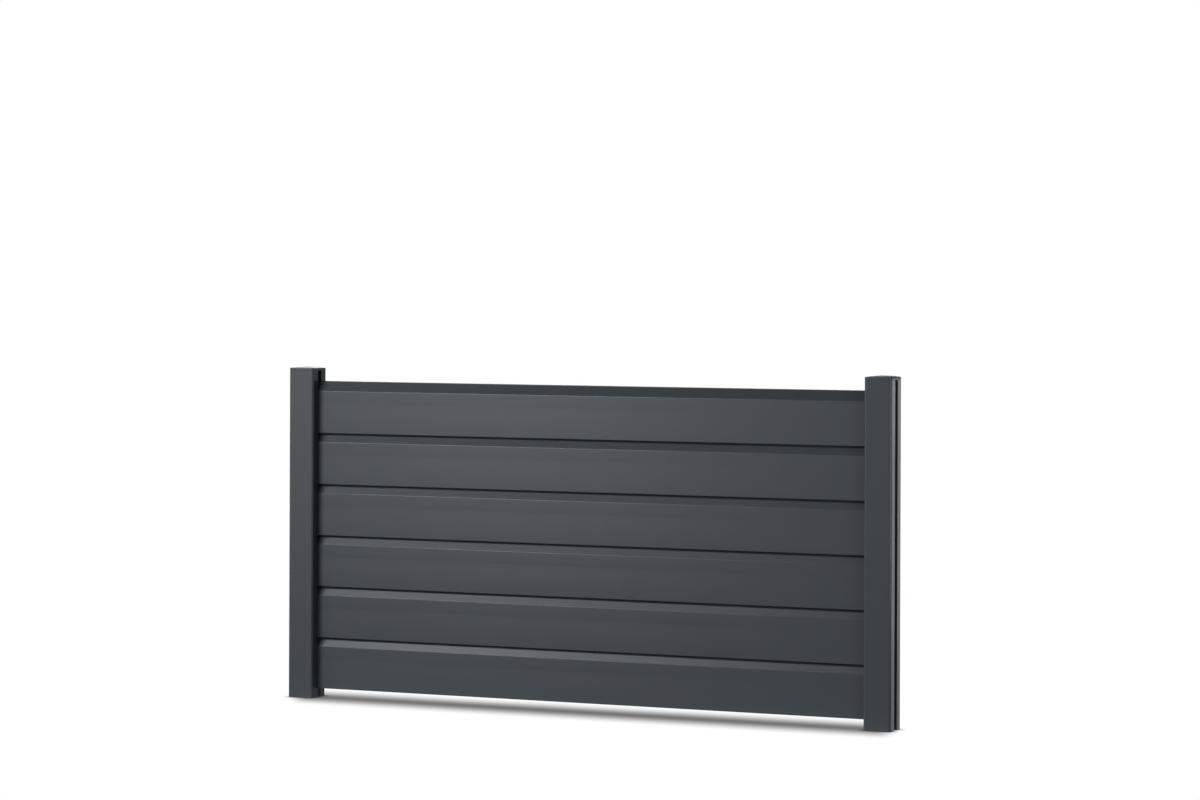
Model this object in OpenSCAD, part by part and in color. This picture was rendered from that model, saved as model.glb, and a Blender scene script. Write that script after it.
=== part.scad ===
// One bay of a louvred aluminium fence: six hollow boards stacked between two grooved posts.
// Each board is thinned to a slope along its top, so the panel shows a row of louvres.
// Frame: X runs along the fence, the front faces -Y, Z is up, in millimetres.
// The origin is the centre of the left post's foot.

/* [Bay] */
// Clear width between the posts
clear_w = 1720; // [300:10:2400]
// Gap under the lowest board
ground_gap = 27; // [8:1:80]
// Height of the posts above the panel
post_rise = 33; // [10:1:120]

/* [Boards] */
// Height that each board adds to the panel
board_pitch = 150; // [110:1:240]
// Thickness of a board, front to back
board_t = 20; // [19:0.5:30]
// Wall of the hollow board
board_wall = 1.5; // [1.2:0.1:2.2]
// Height of the slope along a board's top
slope_h = 27; // [16:1:50]
// How far the slope leans back
slope_d = 14.5; // [6:0.5:15]
// Rounding of the crest under the slope
crest_r = 3.5; // [2:0.5:8]
// Rounding of a board's lower front edge
foot_r = 1.5; // [0.5:0.1:2.5]
// Rounding of a board's other outer edges
arris_r = 0.6; // [0.3:0.1:0.8]
// Height of the crest above the crease in the front face
crease_drop = 40; // [20:1:60]
// Crown of the face below the crease
face_crown = 0.7; // [0.2:0.1:1]
// Crown of the face between the crease and the crest
crest_crown = 0.25; // [0.1:0.05:0.5]
// Height of the tongue on top of a board
tongue_h = 3; // [1.5:0.5:5]
// Thickness of the tongue
tongue_t = 2.6; // [1.5:0.1:3]
// Play round the tongue in its groove
tongue_play = 0.3; // [0.1:0.05:0.5]
// Gap between a board's end and the floor of its slot
end_play = 4; // [1:0.5:8]

/* [Posts] */
// Width of a post along the fence
post_w = 80; // [70:1:120]
// Depth of a post, front to back
post_d = 80; // [60:1:120]
// Rounding of a post's four edges
post_r = 6; // [3:0.5:10]
// Outer wall of a post
post_wall = 2.5; // [1.5:0.1:3]
// Walls round the slots
web_t = 2; // [1.2:0.1:3]
// Depth of a slot
slot_d = 22; // [15:0.5:28]
// Play of a board or spacer in the slot, each side
slot_play = 0.25; // [0.1:0.05:0.5]
// Rounding of the slot's mouth
mouth_r = 1; // [0.5:0.1:1.4]

/* [Caps] */
// Height of a cap's upright rim
cap_rim = 8.5; // [6:0.5:20]
// Rise of the cap's crown above its rim
cap_crown = 3.5; // [2:0.5:10]
// Rounding between the rim and the crown
cap_edge = 2.5; // [1:0.5:4]
// Chamfer under the rim, which leaves a fine joint line
cap_ease = 0.6; // [0.2:0.1:1.5]
// Wall of a cap
cap_wall = 3; // [2:0.1:4]
// Length of the collar that plugs into the post
plug_h = 18; // [8:1:40]
// Wall of that collar
plug_wall = 2; // [1.2:0.1:3]
// Play of the collar in the post's chamber
plug_play = 0.25; // [0.1:0.05:0.5]

/* [Spacers] */
// How far a spacer stays behind the slot's mouth
spacer_setback = 1.5; // [0.5:0.5:5]
// Wall of a spacer
spacer_wall = 2.5; // [1.5:0.1:4]
// Rounding of a spacer's upright edges
spacer_r = 1; // [0.5:0.1:2]

/* [Hidden] */
BOARD_COUNT = 6;

powder_coat = "#4a4f53";
cap_plastic = "#43484c";
spacer_plastic = "#1d1e20";
curve_steps = 64;
hull_steps = 32;
crown_steps = 12;
through = 1;
// A round stands this much proud of the sides that it joins, so that they cross cleanly
round_lap = 0.005;

// The bay
post_pitch = clear_w + post_w;
panel_top = ground_gap + BOARD_COUNT * board_pitch;
post_h = panel_top + post_rise;

// The slots
slot_w = board_t + 2 * slot_play;
slot_floor = post_w / 2 - slot_d;
board_len = clear_w + 2 * (slot_d - end_play);

// The post's chambers
core_w = 2 * (slot_floor - web_t);
core_d = post_d - 2 * post_wall;
side_w = post_w / 2 - post_wall - slot_floor;
side_d = core_d / 2 - slot_w / 2 - web_t;
side_r = post_r - post_wall;

// The board's section, as [depth, height]
front_y = -board_t / 2;
back_y = board_t / 2;
crest = [front_y + crest_crown, board_pitch - slope_h];
crease = [front_y + face_crown, crest.y - crease_drop];
shoulder = [front_y + slope_d, board_pitch];
lower_front = [front_y + face_crown, 0];
slope = shoulder - crest;
groove_w = tongue_t + 2 * tongue_play;
groove_h = tongue_h + tongue_play;
groove_y = back_y - board_wall - groove_w;
tongue_y = groove_y + tongue_play;
inner_front = crease.x + board_wall;
inner_back = back_y - board_wall;
lower_web = crease.y / 2;

function unit(v) = v / norm(v);
// Half of the angle at corner b between its neighbours a and c
function half_angle(a, b, c) = acos(unit(a - b) * unit(c - b)) / 2;
// Centre of the round of radius r in corner b
function round_centre(a, b, c, r) = b + unit(unit(a - b) + unit(c - b)) * r / sin(half_angle(a, b, c));
// Where that round leaves the side from b towards a
function round_start(a, b, c, r) = b + unit(a - b) * r / tan(half_angle(a, b, c));
// Point on the inner side of the sloping wall at a given height
function inner_slope(z) = crest.x + ((z - crest.y) * slope.x + board_wall * norm(slope)) / slope.y;
// Height at which that inner side meets the inner side of the front wall
inner_crest = crest.y + (inner_front - inner_slope(crest.y)) * slope.y / slope.x;
// Points of a crowned stretch of the face from a up to b, without b; it bulges by rise to the front
function crowned(a, b, rise) =
    [for (i = [0 : crown_steps - 1])
        let (share = i / crown_steps)
        a + (b - a) * share - [4 * rise * share * (1 - share), 0]];

module rounded_rect(w, d, r, steps = curve_steps) {
    square([w - 2 * r, d], center = true);
    square([w, d - 2 * r], center = true);
    for (x = [-1, 1], y = [-1, 1]) {
        translate([x * (w / 2 - r), y * (d / 2 - r)])
            circle(r, $fn = steps);
    }
}

// ---- Posts ----

// The slot and its two rounded lips on the post's +X side
module slot_cut() {
    translate([slot_floor, -slot_w / 2])
        square([slot_d + through, slot_w]);
    for (side = [-1, 1]) {
        difference() {
            translate([post_w / 2 - mouth_r, side * (slot_w + mouth_r) / 2 - mouth_r / 2])
                square([mouth_r + through, mouth_r]);
            translate([post_w / 2 - mouth_r, side * (slot_w / 2 + mouth_r)])
                circle(mouth_r, $fn = curve_steps);
        }
    }
}

// One of the four closed chambers beside the slots
module side_chamber() {
    difference() {
        translate([slot_floor, slot_w / 2 + web_t])
            square([side_w, side_d]);
        translate([slot_floor + side_w - side_r, core_d / 2 - side_r])
            square(side_r);
    }
    translate([slot_floor + side_w - side_r, core_d / 2 - side_r])
        circle(side_r, $fn = curve_steps);
}

module post_section() {
    difference() {
        rounded_rect(post_w, post_d, post_r);
        square([core_w, core_d], center = true);
        for (turn = [0, 1]) {
            mirror([turn, 0]) {
                slot_cut();
                side_chamber();
                mirror([0, 1]) side_chamber();
            }
        }
    }
}

module post(x) {
    color(powder_coat)
        translate([x, 0, 0])
            linear_extrude(post_h)
                post_section();
}

// ---- Caps ----

// One level of the cap, as a slab of a given height
module cap_level(height, inset, share = 1) {
    linear_extrude(height)
        rounded_rect((post_w - 2 * inset) * share, (post_d - 2 * inset) * share,
                     (post_r - inset) * share, hull_steps);
}

// The crowned top: a chamfered rim, a round edge, and a low dome whose levels shrink as they rise
module cap_crown_body() {
    edge_steps = 4;
    dome_steps = 5;
    top_share = 1 / (dome_steps + 1);
    hull() {
        cap_level(cap_ease, cap_ease);
        translate([0, 0, cap_ease])
            cap_level(cap_rim - cap_edge - cap_ease, 0);
        for (i = [1 : edge_steps]) {
            angle = 90 * i / edge_steps;
            cap_level(cap_rim - cap_edge * (1 - sin(angle)), cap_edge * (1 - cos(angle)));
        }
        for (i = [1 : dome_steps]) {
            share = 1 - i * top_share;
            rise = cap_crown * (1 - share * share) / (1 - top_share * top_share);
            cap_level(cap_rim + rise, cap_edge, share);
        }
    }
}

module post_cap(x) {
    pocket_h = cap_rim - cap_wall;
    collar_w = core_w - 2 * plug_play;
    collar_d = core_d - 2 * plug_play;
    color(cap_plastic)
        translate([x, 0, post_h]) {
            difference() {
                cap_crown_body();
                translate([0, 0, -through])
                    linear_extrude(pocket_h + through)
                        rounded_rect(post_w - 2 * cap_wall, post_d - 2 * cap_wall, side_r);
            }
            translate([0, 0, -plug_h])
                linear_extrude(plug_h + pocket_h)
                    difference() {
                        square([collar_w, collar_d], center = true);
                        square([collar_w - 2 * plug_wall, collar_d - 2 * plug_wall], center = true);
                    }
        }
}

// ---- Boards ----

// What lies outside the round of radius r in corner b; it reaches past the corner and leaves no sliver
module corner_cut(a, b, c, r) {
    seat = r - round_lap;
    centre = round_centre(a, b, c, seat);
    start = round_start(a, b, c, seat);
    finish = round_start(c, b, a, seat);
    difference() {
        polygon([
            start,
            start + unit(start - centre) * through,
            b + unit(b - centre) * 2 * through,
            finish + unit(finish - centre) * through,
            finish
        ]);
        translate(centre)
            circle(r, $fn = curve_steps);
    }
}

module board_outline() {
    lower_back = [back_y, 0];
    upper_back = [back_y, board_pitch];
    tongue_front = [tongue_y, board_pitch];
    tongue_back = [tongue_y + tongue_t, board_pitch];
    rise = [0, tongue_h];
    lower_face = crowned(lower_front, crease, face_crown);
    // The crease's own corner is left out, which softens the crease
    upper_face = [for (i = [1 : crown_steps - 1]) crowned(crease, crest, crest_crown)[i]];
    difference() {
        polygon([
            each lower_face,
            each upper_face,
            crest,
            shoulder,
            tongue_front,
            tongue_front + rise,
            tongue_back + rise,
            tongue_back,
            upper_back,
            lower_back
        ]);
        corner_cut(upper_face[crown_steps - 2], crest, shoulder, crest_r);
        corner_cut(lower_face[1], lower_front, lower_back, foot_r);
        corner_cut(crest, shoulder, tongue_front, arris_r);
        corner_cut(tongue_front, tongue_front + rise, tongue_back + rise, arris_r);
        corner_cut(tongue_front + rise, tongue_back + rise, tongue_back, arris_r);
        corner_cut(tongue_back, upper_back, lower_back, arris_r);
        corner_cut(upper_back, lower_back, lower_front, arris_r);
    }
}

// The three closed chambers, with a web behind the crease and one halfway down
module board_chambers() {
    inner_w = inner_back - inner_front;
    difference() {
        translate([inner_front, board_wall])
            square([inner_w, lower_web - board_wall * 1.5]);
        translate([groove_y - board_wall, 0])
            square([board_t, groove_h + board_wall]);
    }
    translate([inner_front, lower_web + board_wall / 2])
        square([inner_w, crease.y - lower_web - board_wall]);
    polygon([
        [inner_front, crease.y + board_wall / 2],
        [inner_front, inner_crest],
        [inner_slope(board_pitch - board_wall), board_pitch - board_wall],
        [inner_back, board_pitch - board_wall],
        [inner_back, crease.y + board_wall / 2]
    ]);
}

module board_section() {
    difference() {
        board_outline();
        board_chambers();
        translate([groove_y, -through])
            square([groove_w, groove_h + through]);
    }
}

// Boards are counted from the ground up
module board(number) {
    color(powder_coat)
        translate([-board_len / 2 + post_pitch / 2, 0, ground_gap + (number - 1) * board_pitch])
            rotate([90, 0, 90])
                linear_extrude(board_len)
                    board_section();
}

// ---- Spacers ----

// A hollow block that stands in the slot and carries the lowest board; side is 1 on the left post
module spacer(x, side) {
    length = slot_d - spacer_setback - slot_play;
    width = slot_w - 2 * slot_play;
    color(spacer_plastic)
        translate([x + side * (slot_floor + slot_play + length / 2), 0, 0])
            linear_extrude(ground_gap)
                difference() {
                    rounded_rect(length, width, spacer_r);
                    square([length - 2 * spacer_wall, width - 2 * spacer_wall], center = true);
                }
}

post(0);  // left_post
post(post_pitch);  // right_post
post_cap(0);  // left_post_cap
post_cap(post_pitch);  // right_post_cap
for (number = [1 : BOARD_COUNT]) {
    board(number);
}
spacer(0, 1);  // left_spacer
spacer(post_pitch, -1);  // right_spacer
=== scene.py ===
import math

import bmesh
import bpy
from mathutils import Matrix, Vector


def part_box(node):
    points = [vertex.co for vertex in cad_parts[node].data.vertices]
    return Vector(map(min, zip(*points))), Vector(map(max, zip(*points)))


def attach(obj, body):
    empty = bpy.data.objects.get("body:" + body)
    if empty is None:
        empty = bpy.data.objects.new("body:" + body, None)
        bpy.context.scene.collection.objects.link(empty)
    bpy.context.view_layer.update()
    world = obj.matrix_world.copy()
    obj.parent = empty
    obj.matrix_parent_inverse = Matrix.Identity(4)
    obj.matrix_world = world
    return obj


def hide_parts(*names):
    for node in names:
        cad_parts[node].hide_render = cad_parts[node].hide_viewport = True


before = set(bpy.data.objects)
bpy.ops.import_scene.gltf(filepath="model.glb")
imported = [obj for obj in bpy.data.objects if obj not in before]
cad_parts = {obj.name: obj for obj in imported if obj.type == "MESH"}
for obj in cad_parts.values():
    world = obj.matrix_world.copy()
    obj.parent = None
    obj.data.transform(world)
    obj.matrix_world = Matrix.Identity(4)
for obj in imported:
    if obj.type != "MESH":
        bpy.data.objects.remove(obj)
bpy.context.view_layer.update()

MM = 0.001
BODY = "root"
SIDES = ("left", "right")
BOARDS = tuple(name for name in sorted(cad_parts) if name.startswith("board_"))


# ---- Camera: a long lens at chest height, well to the right of the bay ----

CAMERA_PLACE = (5.2583, -9.4310, 1.2472)
CAMERA_YAW = 0.4289
CAMERA_ROLL = -0.0037
CAMERA_LENS = 109.56
CAMERA_SENSOR = 36.0
CAMERA_SHIFT_Y = -0.1049

camera = bpy.data.objects.new("camera", bpy.data.cameras.new("camera"))
bpy.context.scene.collection.objects.link(camera)
camera.data.sensor_width = CAMERA_SENSOR
camera.data.lens = CAMERA_LENS
camera.data.shift_y = CAMERA_SHIFT_Y
camera.location = CAMERA_PLACE
camera.rotation_euler = (math.radians(90), CAMERA_ROLL, CAMERA_YAW)
bpy.context.scene.camera = camera


# ---- Colours and nodes ----

def srgb(hex_colour):
    """An sRGB hex colour as linear RGBA."""
    channels = [int(hex_colour[i:i + 2], 16) / 255 for i in (1, 3, 5)]
    linear = [c / 12.92 if c <= 0.04045 else ((c + 0.055) / 1.055) ** 2.4 for c in channels]
    return (*linear, 1.0)


def add_node(tree, kind, settings=None, inputs=None):
    """Adds a node. A value in inputs is a socket to link or a plain value."""
    node = tree.nodes.new(kind)
    for name, value in (settings or {}).items():
        setattr(node, name, value)
    for name, value in (inputs or {}).items():
        if isinstance(value, bpy.types.NodeSocket):
            tree.links.new(value, node.inputs[name])
        else:
            node.inputs[name].default_value = value
    return node


def new_material(name):
    """A material with one principled shader on its output."""
    material = bpy.data.materials.new(name)
    material.use_nodes = True
    tree = material.node_tree
    tree.nodes.clear()
    shader = add_node(tree, "ShaderNodeBsdfPrincipled")
    add_node(tree, "ShaderNodeOutputMaterial", inputs={"Surface": shader.outputs["BSDF"]})
    return material, tree, shader


# ---- What the finishes show: soft patterns in the object's own space, sized in real millimetres ----

def cloud_colour(tree, shader, place, size, dark, light, detail=2.0):
    """Clouds of about the size given, between two close tones."""
    clouds = add_node(tree, "ShaderNodeTexNoise",
                      inputs={"Vector": place, "Scale": 1 / size, "Detail": detail})
    tone = add_node(tree, "ShaderNodeMix", {"data_type": "RGBA"},
                    {"Factor": clouds.outputs["Fac"], "A": srgb(dark), "B": srgb(light)})
    tree.links.new(tone.outputs["Result"], shader.inputs["Base Color"])


def cloud_sheen(tree, shader, place, size, smooth, rough, detail=2.0):
    """Clouds of about the size given, between a smoother and a rougher sheen."""
    clouds = add_node(tree, "ShaderNodeTexNoise",
                      inputs={"Vector": place, "Scale": 1 / size, "Detail": detail})
    level = add_node(tree, "ShaderNodeMapRange",
                     inputs={"Value": clouds.outputs["Fac"], "To Min": smooth, "To Max": rough})
    tree.links.new(level.outputs["Result"], shader.inputs["Roughness"])


def raise_grain(tree, shader, place, size, depth, detail=2.0):
    """Raises the surface in grains of about the size and depth given, on top of what is raised already."""
    grain = add_node(tree, "ShaderNodeTexNoise",
                     inputs={"Vector": place, "Scale": 1 / size, "Detail": detail})
    relief = add_node(tree, "ShaderNodeBump",
                      inputs={"Strength": 1.0, "Distance": depth, "Height": grain.outputs["Fac"]})
    if shader.inputs["Normal"].is_linked:
        raised_already = shader.inputs["Normal"].links[0].from_socket
        tree.links.new(raised_already, relief.inputs["Normal"])
    tree.links.new(relief.outputs["Normal"], shader.inputs["Normal"])


# ---- Powder coat on the posts and boards ----

SPRAY_CLOUD = 170 * MM
SHEEN_CLOUD = 60 * MM
SHEEN_SMOOTH = 0.31
SHEEN_ROUGH = 0.37
PEEL_SIZE = 7 * MM
PEEL_DEPTH = 0.016 * MM
GRAIN_SIZE = 0.9 * MM
GRAIN_DEPTH = 0.024 * MM
POLYESTER_IOR = 1.5


def fine_textured_powder_coat(name, dark, light):
    """Anthracite polyester powder on aluminium, which gives a soft satin sheen without a mirror image.
    Slow clouds come from the spray, a soft orange peel from the melt, and a fine grain from the
    texturing agent in the powder, drawn a little coarser than it is so that it shows from close by."""
    material, tree, shader = new_material(name)
    place = add_node(tree, "ShaderNodeTexCoord").outputs["Object"]
    cloud_colour(tree, shader, place, SPRAY_CLOUD, dark, light, detail=3.0)
    cloud_sheen(tree, shader, place, SHEEN_CLOUD, SHEEN_SMOOTH, SHEEN_ROUGH)
    raise_grain(tree, shader, place, PEEL_SIZE, PEEL_DEPTH)
    raise_grain(tree, shader, place, GRAIN_SIZE, GRAIN_DEPTH)
    shader.inputs["IOR"].default_value = POLYESTER_IOR
    return material


# Painted shade in the post slots: a near-black coat colour inside them, where shade falls
SLOT_HALF_WIDTH = 10.25 * MM
SLOT_SHADE_START = SLOT_HALF_WIDTH + 0.7 * MM
SLOT_SHADE_FULL = SLOT_HALF_WIDTH + 0.1 * MM
SLOT_PAINTED_SHADE = "#0b0c0d"
SLOT_ROUGHNESS = 0.75


def paint_shade_in_the_slots(material):
    """Paints shade into the slots of a post: the coat turns near black there, and rougher."""
    tree = material.node_tree
    shader = tree.nodes["Principled BSDF"]
    place = add_node(tree, "ShaderNodeTexCoord").outputs["Object"]
    across = add_node(tree, "ShaderNodeSeparateXYZ", inputs={"Vector": place}).outputs["Y"]
    off_middle = add_node(tree, "ShaderNodeMath", {"operation": "ABSOLUTE"}, {0: across}).outputs["Value"]
    in_slot = add_node(tree, "ShaderNodeMapRange",
                       inputs={"Value": off_middle, "From Min": SLOT_SHADE_START,
                               "From Max": SLOT_SHADE_FULL}).outputs["Result"]
    coat_tone = shader.inputs["Base Color"].links[0].from_socket
    # Painted shade: the coat's colour turns near black inside the slots
    tone = add_node(tree, "ShaderNodeMix", {"data_type": "RGBA"},
                    {"Factor": in_slot, "A": coat_tone, "B": srgb(SLOT_PAINTED_SHADE)})
    tree.links.new(tone.outputs["Result"], shader.inputs["Base Color"])
    coat_roughness = shader.inputs["Roughness"].links[0].from_socket
    level = add_node(tree, "ShaderNodeMapRange",
                     inputs={"Value": in_slot, "To Min": coat_roughness, "To Max": SLOT_ROUGHNESS})
    tree.links.new(level.outputs["Result"], shader.inputs["Roughness"])
    return material


# ---- Plastics of the caps and spacers ----

ASA_CLOUD = 40 * MM
ASA_GRAIN_SIZE = 0.5 * MM
ASA_GRAIN_DEPTH = 0.012 * MM
ASA_ROUGHNESS = 0.46
ASA_IOR = 1.5


def moulded_asa(name, dark, light):
    """Weatherproof ASA in the coat's colour, which is a little duller than the powder, with the even
    spark-eroded grain of its mould."""
    material, tree, shader = new_material(name)
    place = add_node(tree, "ShaderNodeTexCoord").outputs["Object"]
    cloud_colour(tree, shader, place, ASA_CLOUD, dark, light)
    raise_grain(tree, shader, place, ASA_GRAIN_SIZE, ASA_GRAIN_DEPTH, detail=1.0)
    shader.inputs["Roughness"].default_value = ASA_ROUGHNESS
    shader.inputs["IOR"].default_value = ASA_IOR
    return material


FLOW_CLOUD = 12 * MM
FLOW_SMOOTH = 0.42
FLOW_ROUGH = 0.52
POLYPROPYLENE_IOR = 1.49


def moulded_polypropylene(name, dark, light):
    """Black polypropylene, waxy and even, with faint flow clouds."""
    material, tree, shader = new_material(name)
    place = add_node(tree, "ShaderNodeTexCoord").outputs["Object"]
    cloud_colour(tree, shader, place, FLOW_CLOUD, dark, light, detail=3.0)
    cloud_sheen(tree, shader, place, FLOW_CLOUD, FLOW_SMOOTH, FLOW_ROUGH, detail=3.0)
    shader.inputs["IOR"].default_value = POLYPROPYLENE_IOR
    return material


COAT_DARK = "#272e33"
COAT_LIGHT = "#2b3237"
# The posts' coat carries painted shade in its slots
POST_COAT = paint_shade_in_the_slots(fine_textured_powder_coat("powder_coated_posts", COAT_DARK, COAT_LIGHT))
BOARD_COAT = fine_textured_powder_coat("powder_coated_boards", COAT_DARK, COAT_LIGHT)
CAP_PLASTIC = moulded_asa("moulded_asa", "#282f34", COAT_LIGHT)
SPACER_PLASTIC = moulded_polypropylene("moulded_polypropylene", "#131415", "#18191a")


# ---- Modelling by hand ----

UPRIGHT_SHARE = 0.9
SAME_HEIGHT = 0.01 * MM
SAME_POINT = 0.001 * MM
SMOOTH_UNDER = math.radians(40)


def add_block(name, low, high):
    """A block between two corners, with its place in its mesh, alone selected and in edit mode."""
    bpy.ops.object.select_all(action="DESELECT")
    low, high = Vector(low), Vector(high)
    bpy.ops.mesh.primitive_cube_add(size=1, location=(low + high) / 2)
    piece = bpy.context.object
    piece.name = piece.data.name = name
    piece.scale = high - low
    bpy.ops.object.transform_apply(location=True, rotation=True, scale=True)
    bpy.ops.object.mode_set(mode="EDIT")
    return piece


def pick(piece, kind, wanted):
    """Selects the edges or faces of the edited piece that are wanted, and nothing else."""
    bpy.ops.mesh.select_mode(type=kind)
    bpy.ops.mesh.select_all(action="DESELECT")
    shape = bmesh.from_edit_mesh(piece.data)
    shape.normal_update()
    for element in (shape.faces if kind == "FACE" else shape.edges):
        if wanted(element):
            element.select_set(True)
    bmesh.update_edit_mesh(piece.data)


def upright(edge):
    """Tells whether an edge stands upright."""
    first, second = (corner.co for corner in edge.verts)
    return abs(first.z - second.z) > UPRIGHT_SHARE * edge.calc_length()


def level_at(height):
    """Tells whether an edge or face lies level at a height."""
    return lambda element: all(abs(corner.co.z - height) < SAME_HEIGHT for corner in element.verts)


def finish_piece(piece, material, node):
    """Closes the edit, smooths the rounds, and puts the piece in the frame in its node's place."""
    bpy.ops.mesh.select_all(action="SELECT")
    bpy.ops.mesh.remove_doubles(threshold=SAME_POINT)
    bpy.ops.mesh.normals_make_consistent(inside=False)
    bpy.ops.object.mode_set(mode="OBJECT")
    bpy.ops.object.shade_smooth_by_angle(angle=SMOOTH_UNDER)
    enter_frame(piece, material, node)


def enter_frame(piece, material, node):
    """Gives the piece its material and lets it stand for its node."""
    piece.data.materials.clear()
    piece.data.materials.append(material)
    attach(piece, BODY)
    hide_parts(node)


def copy_along(piece, name, distance):
    """A copy with its own mesh, moved along the fence."""
    bpy.ops.object.select_all(action="DESELECT")
    twin = piece.copy()
    twin.data = piece.data.copy()
    twin.name = twin.data.name = name
    bpy.context.scene.collection.objects.link(twin)
    twin.select_set(True)
    bpy.context.view_layer.objects.active = twin
    bpy.ops.object.mode_set(mode="EDIT")
    bpy.ops.mesh.select_all(action="SELECT")
    bpy.ops.transform.translate(value=(distance, 0, 0))
    bpy.ops.object.mode_set(mode="OBJECT")
    return twin


POST_LOW, POST_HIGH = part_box("left_post")
POST_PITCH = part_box("right_post")[0].x - POST_LOW.x


# ---- Caps: flush with the posts, softly crowned, with a collar that plugs into the post ----

CAP_RIM = 8.5 * MM
CAP_CORNER = 6 * MM
CAP_EDGE = 2.5 * MM
CAP_JOINT_EASE = 0.6 * MM
CAP_WALL = 3 * MM
CAP_POCKET = CAP_RIM - CAP_WALL
COLLAR_HALF_W = 15.75 * MM
COLLAR_HALF_D = 36.5 * MM
COLLAR_WALL = 2 * MM
CROWN_RINGS = 7
CORNER_FACETS = 10
EDGE_FACETS = 5
EASE_FACETS = 2


def model_cap(name):
    """The left post's cap, with its crown, its pocket and its collar."""
    joint = POST_HIGH.z
    crown_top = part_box("left_post_cap")[1].z
    rim_top = joint + CAP_RIM
    middle = Vector(((POST_LOW.x + POST_HIGH.x) / 2, (POST_LOW.y + POST_HIGH.y) / 2, joint))
    cap = add_block(name, (POST_LOW.x, POST_LOW.y, joint), (POST_HIGH.x, POST_HIGH.y, rim_top))

    pick(cap, "EDGE", upright)
    bpy.ops.mesh.bevel(offset=CAP_CORNER, segments=CORNER_FACETS, affect="EDGES")
    pick(cap, "EDGE", level_at(rim_top))
    bpy.ops.mesh.bevel(offset=CAP_EDGE, segments=EDGE_FACETS, affect="EDGES")
    pick(cap, "EDGE", level_at(joint))
    bpy.ops.mesh.bevel(offset=CAP_JOINT_EASE, segments=EASE_FACETS, affect="EDGES")

    # The crown rises ring by ring as a low dome
    pick(cap, "FACE", level_at(rim_top))
    shares = [1 - ring / (CROWN_RINGS + 1) for ring in range(CROWN_RINGS + 1)]
    dome = (crown_top - rim_top) / (1 - shares[-1] ** 2)
    for outer, inner in zip(shares, shares[1:]):
        rise = dome * (outer ** 2 - inner ** 2)
        bpy.ops.mesh.extrude_region_move(TRANSFORM_OT_translate={"value": (0, 0, rise)})
        bpy.ops.transform.resize(value=(inner / outer, inner / outer, 1), center_override=middle)

    # The pocket underneath
    pick(cap, "FACE", level_at(joint))
    bpy.ops.mesh.inset(thickness=CAP_WALL - CAP_JOINT_EASE, depth=0)
    bpy.ops.mesh.extrude_region_move(TRANSFORM_OT_translate={"value": (0, 0, CAP_POCKET)})

    # The collar comes out of the pocket's ceiling
    ceiling = level_at(joint + CAP_POCKET)
    for half in (COLLAR_HALF_W, COLLAR_HALF_W - COLLAR_WALL):
        for side in (-1, 1):
            pick(cap, "FACE", ceiling)
            bpy.ops.mesh.bisect(plane_co=(middle.x + side * half, 0, 0), plane_no=(1, 0, 0))
    for half in (COLLAR_HALF_D, COLLAR_HALF_D - COLLAR_WALL):
        for side in (-1, 1):
            pick(cap, "FACE", ceiling)
            bpy.ops.mesh.bisect(plane_co=(0, middle.y + side * half, 0), plane_no=(0, 1, 0))

    def in_collar(face):
        off = face.calc_center_bounds() - middle
        inside = abs(off.x) < COLLAR_HALF_W and abs(off.y) < COLLAR_HALF_D
        hollow = abs(off.x) < COLLAR_HALF_W - COLLAR_WALL and abs(off.y) < COLLAR_HALF_D - COLLAR_WALL
        return ceiling(face) and inside and not hollow

    collar_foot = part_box("left_post_cap")[0].z
    pick(cap, "FACE", in_collar)
    bpy.ops.mesh.extrude_region_move(
        TRANSFORM_OT_translate={"value": (0, 0, collar_foot - joint - CAP_POCKET)})
    return cap


left_cap = model_cap("crowned_cap_left")
finish_piece(left_cap, CAP_PLASTIC, "left_post_cap")
right_cap = copy_along(left_cap, "crowned_cap_right", POST_PITCH)
enter_frame(right_cap, CAP_PLASTIC, "right_post_cap")


# ---- Spacers: hollow moulded blocks that hold the lowest board off the ground ----

SPACER_WALL = 2.5 * MM
SPACER_CORNER = 1 * MM
SPACER_EASE = 0.4 * MM
SPACER_FACETS = 4
NEAR_MIDDLE = 1 * MM


def model_spacer(name, node):
    """A spacer in its node's place, hollow from end to end."""
    low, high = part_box(node)
    middle = (low + high) / 2
    spacer = add_block(name, low, high)

    def at_an_end(element):
        return level_at(low.z)(element) or level_at(high.z)(element)

    def inner_end(face):
        off = face.calc_center_bounds() - middle
        return at_an_end(face) and max(abs(off.x), abs(off.y)) < NEAR_MIDDLE

    pick(spacer, "EDGE", upright)
    bpy.ops.mesh.bevel(offset=SPACER_CORNER, segments=SPACER_FACETS, affect="EDGES")
    # Both ends are opened into one hollow
    for height in (low.z, high.z):
        pick(spacer, "FACE", level_at(height))
        bpy.ops.mesh.inset(thickness=SPACER_WALL)
    pick(spacer, "FACE", inner_end)
    bpy.ops.mesh.bridge_edge_loops()
    pick(spacer, "EDGE", at_an_end)
    bpy.ops.mesh.bevel(offset=SPACER_EASE, segments=EASE_FACETS, affect="EDGES")
    return spacer


for side in SIDES:
    spacer = model_spacer(f"slot_spacer_{side}", f"{side}_spacer")
    finish_piece(spacer, SPACER_PLASTIC, f"{side}_spacer")


# ---- Posts and boards: the CAD extrusions keep their shape and get their coats ----

def coat_node(name, material):
    """Gives a CAD node its finish."""
    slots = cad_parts[name].data.materials
    slots.clear()
    slots.append(material)


for side in SIDES:
    coat_node(f"{side}_post", POST_COAT)
for name in BOARDS:
    coat_node(name, BOARD_COAT)


# ---- Floor: matt white paper that glows evenly white, with a soft band of painted shadow under the fence ----

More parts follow.
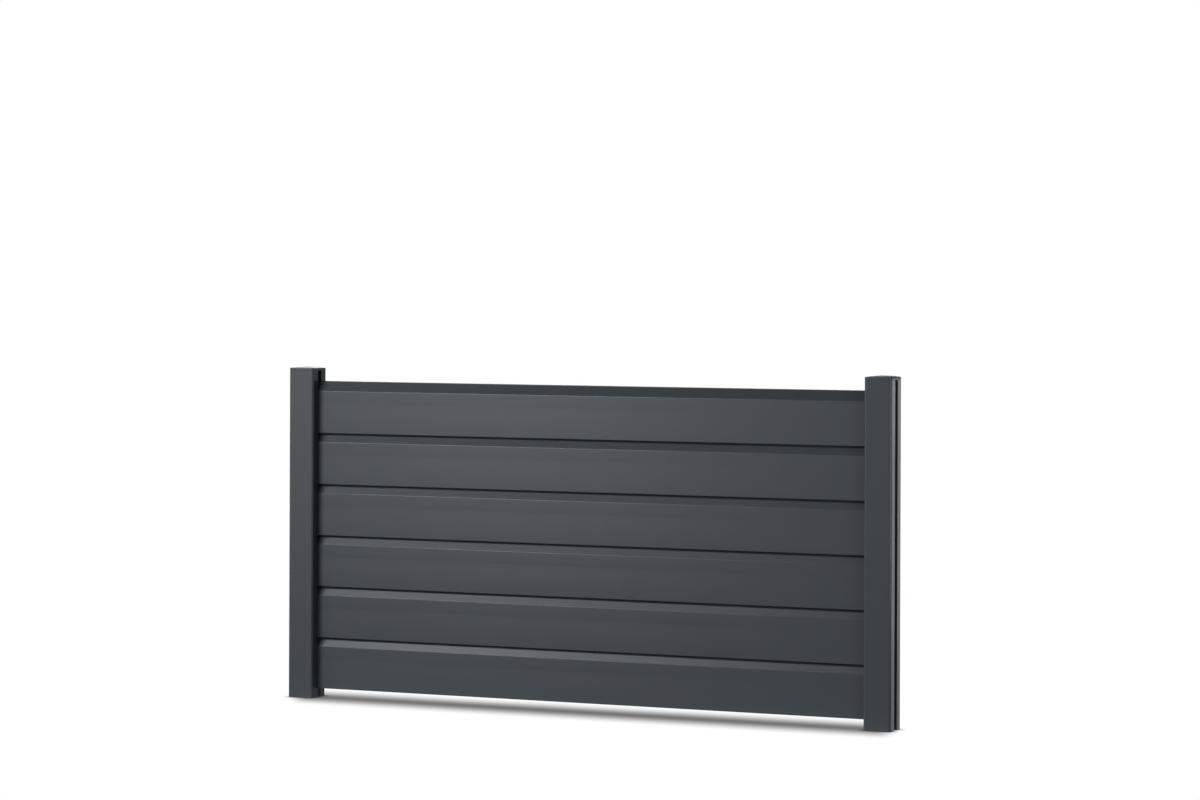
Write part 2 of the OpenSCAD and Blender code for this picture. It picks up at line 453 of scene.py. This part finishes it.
FLOOR_SIZE = 60
SHADE_WHITENESS = 0.18
SHADE_HALF_WIDTH = 200 * MM
SHADE_MIDDLE = 889 * MM
SHADE_HALF_LENGTH = 882 * MM
SHADE_END_STEEPNESS = 2.5
SHADE_SLANT = 0.457
CONTACT_REACH = 25 * MM
CONTACT_WHITENESS = 0.3
CONTACT_SHELTER = 0.5
CONTACT_SAMPLES = 16

bpy.ops.object.select_all(action="DESELECT")
bpy.ops.mesh.primitive_plane_add(size=FLOOR_SIZE, location=(SHADE_MIDDLE, 0, 0))
floor = bpy.context.object
floor.name = "floor"
floor.visible_diffuse = False
floor.visible_glossy = False
floor.visible_shadow = False
paper = bpy.data.materials.new("white_paper")
paper.use_nodes = True
paper_tree = paper.node_tree
paper_tree.nodes.clear()
place = add_node(paper_tree, "ShaderNodeTexCoord").outputs["Object"]
spot = add_node(paper_tree, "ShaderNodeSeparateXYZ", inputs={"Vector": place})
# The painted shadow band has round, slanted ends, as if cast by a light a little to the left behind
along = add_node(paper_tree, "ShaderNodeMath", {"operation": "MULTIPLY_ADD"},
                 {0: spot.outputs["Y"], 1: SHADE_SLANT, 2: spot.outputs["X"]})
off_middle = add_node(paper_tree, "ShaderNodeMath", {"operation": "ABSOLUTE"}, {0: along.outputs["Value"]})
from_end = add_node(paper_tree, "ShaderNodeMapRange", {"clamp": False},
                    {"Value": off_middle.outputs["Value"], "From Min": SHADE_HALF_LENGTH,
                     "From Max": SHADE_HALF_LENGTH + 1, "To Max": SHADE_END_STEEPNESS})
past_end = add_node(paper_tree, "ShaderNodeMath", {"operation": "MAXIMUM"},
                    {0: from_end.outputs["Result"], 1: 0.0})
away = add_node(paper_tree, "ShaderNodeCombineXYZ",
                inputs={"X": past_end.outputs["Value"], "Y": spot.outputs["Y"]})
distance = add_node(paper_tree, "ShaderNodeVectorMath", {"operation": "LENGTH"},
                    {0: away.outputs["Vector"]})
# Painted shadow: the paper's glow darkens towards the fence's line
painted_shadow = add_node(paper_tree, "ShaderNodeMapRange", {"interpolation_type": "SMOOTHSTEP"},
                {"Value": distance.outputs["Value"], "From Max": SHADE_HALF_WIDTH,
                 "To Min": SHADE_WHITENESS, "To Max": 1.0})
# Painted contact shade: a fine dark line where the posts stand on the paper, drawn from ambient occlusion
shelter = add_node(paper_tree, "ShaderNodeAmbientOcclusion", {"samples": CONTACT_SAMPLES},
                   {"Distance": CONTACT_REACH})
painted_contact_shade = add_node(paper_tree, "ShaderNodeMapRange",
                   inputs={"Value": shelter.outputs["AO"], "From Min": CONTACT_SHELTER,
                           "To Min": CONTACT_WHITENESS})
whiteness = add_node(paper_tree, "ShaderNodeMath", {"operation": "MULTIPLY"},
                     {0: painted_shadow.outputs["Result"], 1: painted_contact_shade.outputs["Result"]})
glow = add_node(paper_tree, "ShaderNodeEmission", inputs={"Strength": whiteness.outputs["Value"]})
add_node(paper_tree, "ShaderNodeOutputMaterial", inputs={"Surface": glow.outputs["Emission"]})
floor.data.materials.append(paper)


# ---- World: white behind the fence, dark round it but for the glow of the floor ----

LAMP_COLOUR = (0.975, 1.0, 1.02)
FRONT_LEFT_GLOW = 0.98
FRONT_RIGHT_GLOW = 0.25
BACK_GLOW = 0.25
FRONT_TO_BACK = 0.1
FLOOR_EDGE = 0.02

world = bpy.data.worlds.new("studio")
bpy.context.scene.world = world
world.use_nodes = True
world_tree = world.node_tree
world_tree.nodes.clear()
direction = add_node(world_tree, "ShaderNodeTexCoord").outputs["Generated"]
heading = add_node(world_tree, "ShaderNodeSeparateXYZ", inputs={"Vector": direction})
front_glow = add_node(world_tree, "ShaderNodeMapRange",
                      inputs={"Value": heading.outputs["X"], "From Min": -1.0, "From Max": 1.0,
                              "To Min": FRONT_LEFT_GLOW, "To Max": FRONT_RIGHT_GLOW})
floor_glow = add_node(world_tree, "ShaderNodeMapRange",
                      inputs={"Value": heading.outputs["Y"], "From Min": -FRONT_TO_BACK,
                              "From Max": FRONT_TO_BACK, "To Min": front_glow.outputs["Result"],
                              "To Max": BACK_GLOW})
from_floor = add_node(world_tree, "ShaderNodeMapRange",
                      inputs={"Value": heading.outputs["Z"], "From Min": 0.0, "From Max": -FLOOR_EDGE,
                              "To Max": floor_glow.outputs["Result"]})
room = add_node(world_tree, "ShaderNodeBackground",
                inputs={"Color": (*LAMP_COLOUR, 1.0), "Strength": from_floor.outputs["Result"]})
backdrop = add_node(world_tree, "ShaderNodeBackground", inputs={"Color": (1, 1, 1, 1), "Strength": 1.0})
ray = add_node(world_tree, "ShaderNodeLightPath")
sky = add_node(world_tree, "ShaderNodeMixShader",
               inputs={0: ray.outputs["Is Camera Ray"], 1: room.outputs["Background"],
                       2: backdrop.outputs["Background"]})
add_node(world_tree, "ShaderNodeOutputWorld", inputs={"Surface": sky.outputs["Shader"]})


# ---- Lights: softboxes of slightly cool tubes, with a brightness where white paper is 1 ----

def softbox(name, place, target, width, height, brightness):
    """A rectangular softbox that faces a target."""
    data = bpy.data.lights.new(name, "AREA")
    data.shape = "RECTANGLE"
    data.size = width
    data.size_y = height
    data.color = LAMP_COLOUR
    data.energy = brightness * math.pi * width * height
    light = bpy.data.objects.new(name, data)
    bpy.context.scene.collection.objects.link(light)
    light.location = place
    light.rotation_euler = (Vector(target) - Vector(place)).to_track_quat("-Z", "Y").to_euler()
    light.visible_camera = False


# A wall of square panels in front, above the fence, brightest towards the left: across, up, brightness
PANEL = 0.6
PANEL_WALL = -2.6
PANELS = (
    (-1.8, 2.6, 23.4),
    (-1.2, 2.6, 11.6),
    (-0.6, 2.6, 5.4),
    (0.0, 2.6, 6.9),
    (-1.2, 2.0, 9.0),
    (-0.6, 2.0, 21.5),
    (0.0, 3.2, 3.1),
    (0.6, 3.2, 2.0),
    (0.6, 4.4, 2.0),
)
for number, (across, up, brightness) in enumerate(PANELS, 1):
    softbox(f"panel_{number}", (across, PANEL_WALL, up), (across, 0, up), PANEL, PANEL, brightness)

# Single softboxes: name, place, target, width, height, brightness
SOFTBOXES = (
    # Low in front, for the faces
    ("front_card", (-2.0, -4.6, 1.0), (-2.0, 0, 1.0), 4.0, 2.0, 1.17),
    ("low_card", (-0.5, -2.6, 0.8), (-0.5, 0, 0.8), 1.0, 1.6, 0.9),
    ("floor_strip", (0.9, -0.11, -0.03), (0.9, -0.11, 1.0), 1.9, 0.1, 0.8),
    # Right and behind, for the outer side of the right post
    ("side_softbox", (2.75, 1.8, 1.0), (1.88, 0, 1.0), 0.7, 0.6, 2.4),
    ("side_low_softbox", (2.75, 1.8, 0.4), (1.88, 0, 0.4), 0.7, 0.6, 1.6),
    ("side_low_card", (2.6, 1.4, -0.2), (1.88, 0, 0.2), 0.7, 0.8, 0.85),
    ("right_card", (5.5, 0.6, 0.9), (1.88, 0, 0.6), 1.6, 2.0, 0.6),
    # Left and right, for the rounded edges of the posts
    ("right_edge_light", (3.0, -0.9, 0.85), (1.88, 0, 0.75), 0.6, 1.3, 5.2),
    ("left_edge_light", (-4.0, 0.2, 0.9), (0, 0, 0.5), 1.2, 1.8, 6),
    # Behind and above, for the back and the tops
    ("back_card", (-0.5, 4.2, 1.0), (-0.5, 0, 1.0), 3.2, 2.0, 1.5),
    ("back_softbox", (-0.8, 3.0, 2.0), (0.9, 0, 0.4), 2.4, 1.6, 5),
    ("top_card", (0.9, 0.6, 3.2), (0.9, 0, 0.97), 3.0, 0.9, 1.4),
)
for setting in SOFTBOXES:
    softbox(*setting)

bpy.context.scene.view_settings.view_transform = "Standard"
